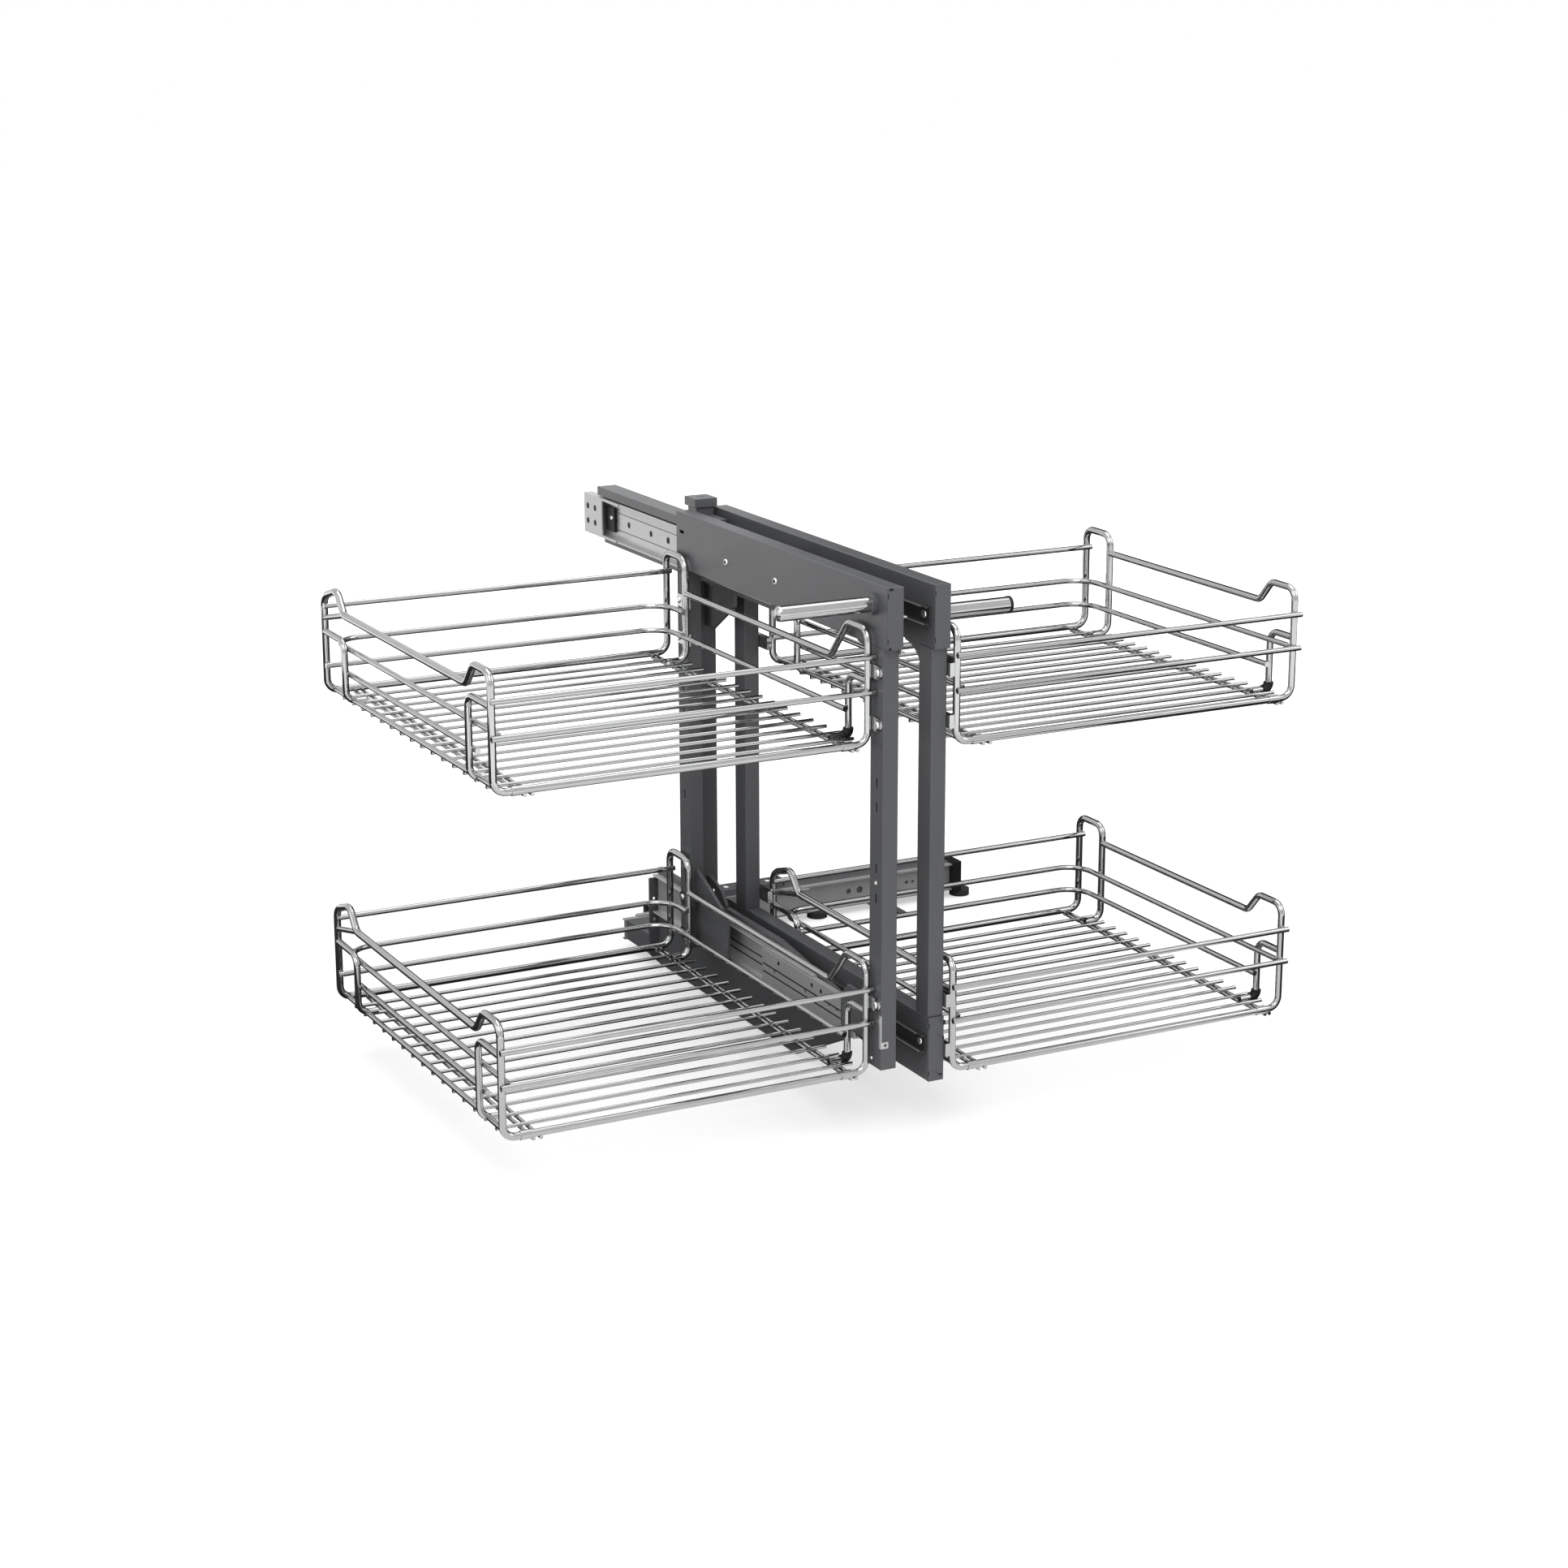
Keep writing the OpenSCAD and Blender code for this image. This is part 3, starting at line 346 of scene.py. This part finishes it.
def pushed(work, edges, way):
    """Extrude a ring of edges along a way and return the new ring."""
    grown = bmesh.ops.extrude_edge_only(work, edges=edges)["geom"]
    verts = {item for item in grown if isinstance(item, bmesh.types.BMVert)}
    bmesh.ops.translate(work, verts=list(verts), vec=way)
    return [item for item in grown if isinstance(item, bmesh.types.BMEdge) and verts.issuperset(item.verts)]


def bent_wire(work, points, width, radius):
    """Sweep a round wire along the straight runs and bends through a list of points."""
    ways = [(far - near).normalized() for near, far in zip(points, points[1:])]
    facing = Vector((0, 0, 1)).rotation_difference(ways[0]).to_matrix().to_4x4()
    ring = bmesh.ops.create_circle(work, segments=WIRE_SIDES, radius=width / 2,
                                   matrix=Matrix.Translation(points[0]) @ facing)["verts"]
    edges = list({edge for vert in ring for edge in vert.link_edges})
    first = edges
    here = points[0]
    for way, corner, after in zip(ways, points[1:], ways[1:] + ways[-1:]):
        angle = way.angle(after)
        trim = way * radius * math.tan(angle / 2)
        edges = pushed(work, edges, corner - trim - here)
        here = corner - trim
        if angle > STRAIGHT:
            axis = way.cross(after).normalized()
            geometry = edges + list({vert for edge in edges for vert in edge.verts})
            bend = bmesh.ops.spin(work, geom=geometry, cent=here + axis.cross(way) * radius, axis=axis,
                                  angle=angle, steps=math.ceil(angle / BEND_STEP))
            edges = [item for item in bend["geom_last"] if isinstance(item, bmesh.types.BMEdge)]
            here = corner + after * trim.length
    for end in (first, edges):
        bmesh.ops.edgeloop_fill(work, edges=end)
        for edge in end:
            edge.smooth = False


# Wires of the baskets in millimetres: diameters, bend radii and distance of the rails from the legs' axes
THICK, LEG, RAIL, FLOOR, COLLAR = 8, 7.4, 6, 4, 9.6
BEND, FOOT_BEND, ROUND = 13, 7, 30
ASIDE = 6.19
# Heights above the bottom wire
PEAK, DIP, LOOP_TOP, REAR_TOP = 118, 95, 116, 96
SIDE_TOP, SIDE_LOW, FRONT_TOP, FRONT_LOW, INNER_TOP = 57, 29, 91, 54.5, 77
FRONT_LEG_TOP, REAR_LEG_TOP, FOOT_TOP, FOOT_BEND_TOP = 85, 66, 65, 15
EDGE_RAIL, FLOOR_DROP, CROSS_DROP = 2.2, 2, 5.2
# Distances from the corner legs, along the depth
PEAK_END, DIP_START, INNER_START, LEG_BACK, FOOT_BACK = 42, 62, 78, 60, 41
LOOP_DEEP, REAR_DIP, REAR_PEAK = 50, 64, 44
# Lengths of the ends that turn in along the bottom, and how far the rails run past the corner legs
TURN_IN, LEG_IN = 24, 22
PAST, OVER = 3, 5
# Rows of thin wires in the floor
FLOOR_ROWS, FLOOR_MARGIN, FLOOR_START = 15, 32, 5.5


def basket_wires(w, d, low):
    """Diameter, bend radius and points of each wire, in millimetres from the front left corner leg.

    Where low is true, the right side has one rail less and its top wire runs lower.
    """
    q = ASIDE
    loop_y = d - LOOP_DEEP
    leg_y = d - LEG_BACK
    start, top, rail_end = (INNER_START, INNER_TOP, loop_y - 8) if low else (DIP_START, DIP, -1)
    side = [(TURN_IN, 0, 0), (0, 0, 0), (0, 0, PEAK), (0, PEAK_END, PEAK), (0, DIP_START, DIP),
            (0, d - REAR_DIP, DIP), (0, d - REAR_PEAK, PEAK), (0, d - 11, REAR_TOP + 12),
            (0, d - 3, REAR_TOP + 7), (0, d, REAR_TOP), (0, d, 0), (TURN_IN, d, 0)]
    loop = [(w - TURN_IN, d, 0), (w, d, 0), (w, d, LOOP_TOP), (w, loop_y, LOOP_TOP), (w, loop_y, 0),
            (w - LEG_IN, loop_y, 0)]
    front = [(w - TURN_IN, 0, 0), (w, 0, 0), (w, 0, PEAK), (w, PEAK_END, PEAK), (w, start, top),
             (w, loop_y - 2, top)]
    foot = [(w, FOOT_BACK, FOOT_BEND_TOP), (w, FOOT_BACK, 0), (w - LEG_IN, FOOT_BACK, 0)]
    inner_legs = (
        [(0, 2, FRONT_LEG_TOP), (0, LEG_BACK, FRONT_LEG_TOP), (0, LEG_BACK, 0), (LEG_IN, LEG_BACK, 0)],
        [(0, d - 2, REAR_LEG_TOP), (0, leg_y, REAR_LEG_TOP), (0, leg_y, 0), (LEG_IN, leg_y, 0)],
        [(w, 2, FOOT_TOP), (w, FOOT_BACK, FOOT_TOP), (w, FOOT_BACK, FOOT_BEND_TOP)])
    rails = (
        [(0, d - 2, DIP - 14), (0, d - REAR_DIP, DIP)],
        [(q, LEG_BACK - 8, SIDE_LOW), (q, leg_y + 8, SIDE_LOW)],
        [(q + 1, -1, EDGE_RAIL), (q + 1, d + 1, EDGE_RAIL)],
        [(q, -1, SIDE_TOP), (q, d - q, SIDE_TOP), (w - q, d - q, SIDE_TOP), (w - q, rail_end, SIDE_TOP)],
        [(-PAST, d - q, SIDE_LOW), (w - q, d - q, SIDE_LOW), (w - q, FOOT_BACK - 5, SIDE_LOW)],
        [(-PAST, d - q, DIP), (w + PAST, d - q, DIP)],
        [(-PAST, -q, FRONT_LOW), (w + OVER, -q, FRONT_LOW)],
        [(-PAST, -q, FRONT_TOP), (w + OVER, -q, FRONT_TOP)])
    wires = [(THICK, BEND, side), (THICK, BEND, loop), (LEG, BEND, front), (LEG, FOOT_BEND, foot)]
    wires += [(LEG, BEND, path) for path in inner_legs]
    wires += [(RAIL, ROUND, path) for path in rails]
    wires += [(THICK, BEND, [(TURN_IN, y, 0), (w - TURN_IN, y, 0)]) for y in (0, d)]
    wires += [(COLLAR, BEND, [(x, 0, 0), (x + 12, 0, 0)]) for x in (18, w - 30)]
    return wires


def floor_wires(w, d):
    """The same for the thin wires of a basket's floor."""
    step = (d - 2 * FLOOR_MARGIN) / (FLOOR_ROWS - 1)
    rows = [FLOOR_MARGIN + step * count for count in range(FLOOR_ROWS)]
    along = [(FLOOR, BEND, [(FLOOR_START, y, -FLOOR_DROP), (w + 1, y, -FLOOR_DROP)]) for y in rows]
    across = [(FLOOR, BEND, [(x, -2, -CROSS_DROP), (x, d + 2, -CROSS_DROP)])
              for x in (32, 40, w - 18, w - 12)]
    return along + across


def wire_piece(node, corner, wires):
    """Stand smooth swept wires in a node's place."""
    work = bmesh.new()
    for width, radius, path in wires:
        bent_wire(work, [(Vector(corner) + Vector(point)) * MM for point in path], width * MM, radius * MM)
    for face in work.faces:
        face.smooth = True
    bmesh.ops.recalc_face_normals(work, faces=work.faces)
    piece(node + "_wires", work, body_of[node], slot_of[node], node)


# Heights of the bottom wires; front left corner, width and depth of the baskets, in millimetres
TIERS = (("upper", 418), ("lower", 66))
BASKETS = (("left", (-690, -687), 407, 475), ("right", (-200, -722), 416, 408))
for tier, height in TIERS:
    for hand, corner_leg, wide, deep in BASKETS:
        basket_corner = (*corner_leg, height)
        wire_piece(f"{tier}_{hand}_basket", basket_corner, basket_wires(wide, deep, hand == "left"))
        wire_piece(f"{tier}_{hand}_floor", basket_corner, floor_wires(wide, deep))

# Faces of the upper left slide on X, heights of the painted shade lines on the lower slides and depth of a
# painted shade disc, in millimetres
PLATE_FACE, WEB_FACE, STOP_FACE = -256.75, -247.85, -251.5
LOW_SHADE_LINES = (97, 88)
DISC_DEEP = 0.4


def block(work, *ranges):
    """Add a box from its ranges on the three axes, in millimetres."""
    low, high = (Vector(corner) * MM for corner in zip(*ranges))
    middle = Matrix.Translation((low + high) / 2)
    bmesh.ops.create_cube(work, size=1, matrix=middle @ Matrix.Diagonal((*(high - low), 1)))


def disc(work, place, radius):
    """Add a thin round plate that looks along -X from a place, in millimetres."""
    turn = Matrix.Rotation(math.pi / 2, 4, "Y")
    bmesh.ops.create_cone(work, cap_ends=True, segments=24, radius1=radius * MM, radius2=radius * MM,
                          depth=DISC_DEEP * MM, matrix=Matrix.Translation(Vector(place) * MM) @ turn)


def marks(name, node, slot, discs=(), blocks=()):
    """Make thin plates one piece that rides with a node."""
    work = bmesh.new()
    for place, radius in discs:
        disc(work, place, radius)
    for ranges in blocks:
        block(work, *ranges)
    piece(name, work, body_of[node], slot)


def stud(name, node, place, radius, height):
    """Make a small rivet that looks along -X a piece that rides with a node, in millimetres."""
    work = bmesh.new()
    add_to(work, rivet(radius * MM, height * MM), Vector(place) * MM, OUTWARD[0])
    piece(name, work, body_of[node], "screw_steel")


def about(middle, half):
    """The range that reaches as far on both sides of a middle."""
    return middle - half, middle + half


def slide_details():
    """Painted shade in the holes and as lines along the left slides, the black stop, and the lips beside the
    upper one's end plate.
    """
    outer = "left_top_slide_outer"
    # Black discs in the holes and thin black lines along the web are painted shade; the stop is a real black
    # part.
    plate_hole_shade = [((PLATE_FACE, y, z), 3.7) for y in (45, 66) for z in (523, 541)]
    web_hole_shade = [((WEB_FACE, y, 532), radius) for y, radius in ((3, 4), (-34, 3.6), (-96, 3.6), (-143, 4))]
    stop = ((STOP_FACE, -248), (0, 25), (518, 547))
    web_shade_lines = [((-248, -247.7), (-235, -2), about(z, 0.35)) for z in (542, 521.5)]
    marks("slide_stop_and_painted_shade", outer, "black_plastic", plate_hole_shade + web_hole_shade, [stop] + web_shade_lines)
    marks("slide_lips", outer, "zinc", blocks=[((-256.6, -255), (-22, 25.5), (553, 555.9)),
                                               ((-256.6, -255), (-14, 25.5), (508.1, 511))])
    stud("slide_stop_ball", outer, (STOP_FACE, 7, 535), radius=2.6, height=1.2)
    # Black discs in the holes and thin black lines along the lower slides are painted shade.
    low_hole_shade = [((-259.05, y, z), 2.4) for y, z in ((-442, 107), (-521, 106), (-542, 105), (-567, 107))]
    low_shade_lines = [((-259.2, -259), (-612, -404), about(z, 0.8)) for z in LOW_SHADE_LINES]
    marks("lower_slide_painted_shade", "left_bottom_slide_inner", "black_plastic", low_hole_shade, low_shade_lines)
    middle_shade_lines = [((-251.55, -251.35), (-402, -262), about(z, 0.8)) for z in LOW_SHADE_LINES]
    marks("lower_slide_painted_shade_lines", "left_bottom_slide_middle", "black_plastic", blocks=middle_shade_lines)


def small_marks():
    """Painted shade in the notches of the caps and in rivet cores, and painted highlights along the edges of
    the black slides.
    """
    left_cap = (-717.15, -716.5)
    # Black discs in the rivet cores and black blocks in the cap's notches are painted shade.
    marks("left_cap_painted_shade", "left_beam_cap", "black_plastic",
          [((-278.2, y, 546), 2.2) for y in (-471, -353)],
          [((-276, -271), left_cap, (580, 582.6)), ((-276, -273), left_cap, (519.5, 522))])
    # Zinc strips along the flanges of the black slides are painted highlights.
    edge = (-233.55, -233.38)
    marks("right_slide_painted_highlights", "right_top_slide_inner", "zinc", blocks=[
        ranges for middle in (550, 96) for ranges in (
            (edge, (-706, -600), (middle + 8, middle + 9.5)),
            (edge, (-712, -600), (middle - 9.5, middle - 8)))])
    # Black blocks in the notches of the right beam caps are painted shade.
    right_cap = (-724.2, -723.8)
    marks("right_cap_painted_shade", "right_beam_caps", "black_plastic", blocks=[
        ((-212, -209.5), right_cap, (117, 122)), ((-213, -211), right_cap, (101, 105)),
        ((-217, -213), right_cap, (62, 64))])
    stud("left_post_rivet", "left_front_post", (-277, -695, 272), radius=2.2, height=0.8)


slide_details()
small_marks()

FOLDED_EDGE = 1.0 * MM
ROLLED_EDGE = 0.5 * MM
FOLDED = (
    "left_top_beam", "left_beam_cap", "left_front_post", "left_rear_post", "left_arc_gusset",
    "left_slide_brackets", "right_top_beam", "right_beam_caps", "right_bottom_beam", "right_front_post",
    "right_rear_post", "right_arc_gusset", "column", "column_cap", "column_gussets", "carriage_panel",
    "rear_plate", "carriage_block", "cross_rail", "rail_left_box", "rail_end_block", "floor_brackets",
)
for folded in FOLDED:
    soften(folded, FOLDED_EDGE if slot_of[folded] == "graphite_paint" else ROLLED_EDGE)
for rolled in [node for node in frame["nodes"] if "_slide_" in node and node not in FOLDED]:
    soften(rolled, ROLLED_EDGE)

# The photo's camera
CAMERA = Vector((-1.7445, -3.3356, 1.2022))
AZIMUTH = math.radians(-27.2875)
RISE = math.radians(15.2813)
ROLL = math.radians(-0.119)
FOCAL_PX, PHOTO_PX, SENSOR = 3804.87, 1932, 36
# Middle of the object, and the paper round it
MIDDLE = Vector((-0.24, -0.35, 0.28))
MIDDLE_ON_FLOOR = Vector((MIDDLE.x, MIDDLE.y, 0))
PAPER_HALF, PAPER_Z, PAPER_GREY = 14, -0.6 * MM, 0.5
NEAR_GLOW, GLOW_START, GLOW_END = 0.5, 0.7, 2.2
# Upright flags: first and last angle round the object, and height
FLAG_AWAY = 1.3
FLAGS = (
    ("back_flag", -20, 100, 0.6),
    ("tall_flag", 28, 63, 2.1),
)
# Flags on the table: lowest and highest corner
CARD_Z = -0.3 * MM
TABLE_CARDS = (
    ("back_card", (-2.6, -0.6), (2.4, 1.25)),
    ("side_card", (0.25, -2.0), (2.4, -0.6)),
    ("left_card", (-2.8, -1.2), (-1.5, -0.6)),
)
CLOTH_GREY = 0.012
# Grey of the room's light, by the height that it comes from
ROOM_LIGHT = [(0.0, 0.5), (0.12, 0.34), (0.45, 0.62), (0.8, 0.95)]
# Place, size and power of the lamps
LAMPS = (
    ("key", (-1.6, -3.0, 3.2), 2.2, 62),
    ("fill", (-3.4, -0.6, 1.6), 2.0, 14),
    ("side", (2.6, -2.0, 2.2), 1.8, 26),
    ("top", (0.0, -0.2, 3.4), 2.6, 40),
)


def stage_piece(name, work, look):
    """Make a bmesh a part of the set that isn't part of the object."""
    made = placed(name, work, look)
    return made


def background_rays(tree):
    """1 where the camera, or a mirror or glass, looks at the background."""
    rays = tree.nodes.new("ShaderNodeLightPath")
    seen, mirrored, through = (Socket(tree, rays.outputs["Is " + kind + " Ray"])
                               for kind in ("Camera", "Glossy", "Transmission"))
    return seen.maths("MAXIMUM", seen, seen.maths("MAXIMUM", mirrored, through))


def paper_floor():
    """White paper under the object, which keeps its shadow."""
    paper = bpy.data.materials.new("floor_paper")
    paper.use_nodes = True
    tree = paper.node_tree
    tree.nodes.remove(tree.nodes["Principled BSDF"])
    seen = background_rays(tree)
    place = Socket(tree, tree.nodes.new("ShaderNodeTexCoord").outputs["Object"])
    away = place.node("ShaderNodeVectorMath", {"operation": "DISTANCE"}, out=1, i0=place, i1=MIDDLE_ON_FLOOR)
    far = away.node("ShaderNodeMapRange", {"interpolation_type": "SMOOTHSTEP"}, Value=away,
                    From_Min=GLOW_START, From_Max=GLOW_END, To_Min=NEAR_GLOW, To_Max=1.0)
    glow = seen.node("ShaderNodeEmission", Color=(1, 1, 1, 1), Strength=seen * far)
    card = seen.node("ShaderNodeBsdfDiffuse", Color=(PAPER_GREY, PAPER_GREY, PAPER_GREY, 1))
    both = seen.node("ShaderNodeAddShader", i0=glow, i1=card)
    tree.links.new(both.out, tree.nodes["Material Output"].inputs["Surface"])
    grid = bmesh.new()
    bmesh.ops.create_grid(grid, x_segments=1, y_segments=1, size=PAPER_HALF)
    bmesh.ops.translate(grid, verts=grid.verts, vec=(0, 0, PAPER_Z))
    stage_piece("floor", grid, paper)


def flag_piece(name, work, cloth):
    """Make a bmesh a flag that is left to glossy rays alone."""
    flag = stage_piece(name, work, cloth)
    for kind in ("camera", "diffuse", "transmission", "volume_scatter", "shadow"):
        setattr(flag, "visible_" + kind, False)


def dark_flags():
    """Black cards round and under the set, which only shiny metal sees."""
    black = bpy.data.materials.new("flag_cloth")
    black.use_nodes = True
    shader = black.node_tree.nodes["Principled BSDF"]
    shader.inputs["Base Color"].default_value = (CLOTH_GREY, CLOTH_GREY, CLOTH_GREY, 1)
    shader.inputs["Roughness"].default_value = 1.0
    for name, first, last, high in FLAGS:
        work = bmesh.new()
        turn = Matrix.Rotation(math.radians(first), 3, "Z")
        ends = [bmesh.ops.create_vert(work, co=MIDDLE_ON_FLOOR + turn @ Vector((FLAG_AWAY, 0, z)))["vert"][0]
                for z in (0.0, high)]
        side = work.edges.new(ends)
        bmesh.ops.spin(work, geom=ends + [side], cent=MIDDLE_ON_FLOOR, axis=(0, 0, 1), steps=16,
                       angle=math.radians(last - first))
        flag_piece(name, work, black)
    for name, *corners in TABLE_CARDS:
        card = bmesh.new()
        low, high = (Vector((*corner, CARD_Z)) for corner in corners)
        half = (high - low) / 2
        middle = Matrix.Translation((low + high) / 2)
        bmesh.ops.create_grid(card, x_segments=1, y_segments=1, size=1,
                              matrix=middle @ Matrix.Diagonal((half.x, half.y, 1, 1)))
        flag_piece(name, card, black)


def room():
    """White where the camera and metal look, soft grey light for the rest."""
    world = bpy.data.worlds.new("studio")
    bpy.context.scene.world = world
    world.use_nodes = True
    tree = world.node_tree
    way = Socket(tree, tree.nodes.new("ShaderNodeTexCoord").outputs["Generated"])
    height = way.node("ShaderNodeSeparateXYZ", out=2, i0=way)
    soft = height.node("ShaderNodeValToRGB", ramp=ROOM_LIGHT, Fac=height)
    tone = background_rays(tree).mix(soft, (1, 1, 1, 1))
    tree.links.new(tone.out, tree.nodes["Background"].inputs["Color"])


def lamps():
    """Soft square lamps that look at the middle of the object."""
    for name, place, size, power in LAMPS:
        data = bpy.data.lights.new(name, "AREA")
        data.size = size
        data.energy = power
        lamp = bpy.data.objects.new(name, data)
        lamp.location = place
        lamp.rotation_euler = (MIDDLE - Vector(place)).to_track_quat("-Z", "Y").to_euler()
        bpy.context.scene.collection.objects.link(lamp)


def photo_camera():
    """A camera at the photo's place, turn and focal length."""
    data = bpy.data.cameras.new("camera")
    data.sensor_width = SENSOR
    data.lens = FOCAL_PX * SENSOR / PHOTO_PX
    data.clip_end = 60
    camera = bpy.data.objects.new("camera", data)
    camera.location = CAMERA
    back = Vector((math.sin(AZIMUTH) * math.cos(RISE), -math.cos(AZIMUTH) * math.cos(RISE), math.sin(RISE)))
    turn = (-back).to_track_quat("-Z", "Y").to_matrix().to_4x4() @ Matrix.Rotation(ROLL, 4, "Z")
    camera.rotation_euler = turn.to_euler()
    bpy.context.scene.collection.objects.link(camera)
    bpy.context.scene.camera = camera


bpy.context.scene.view_settings.view_transform = "Standard"
paper_floor()
dark_flags()
room()
lamps()
photo_camera()
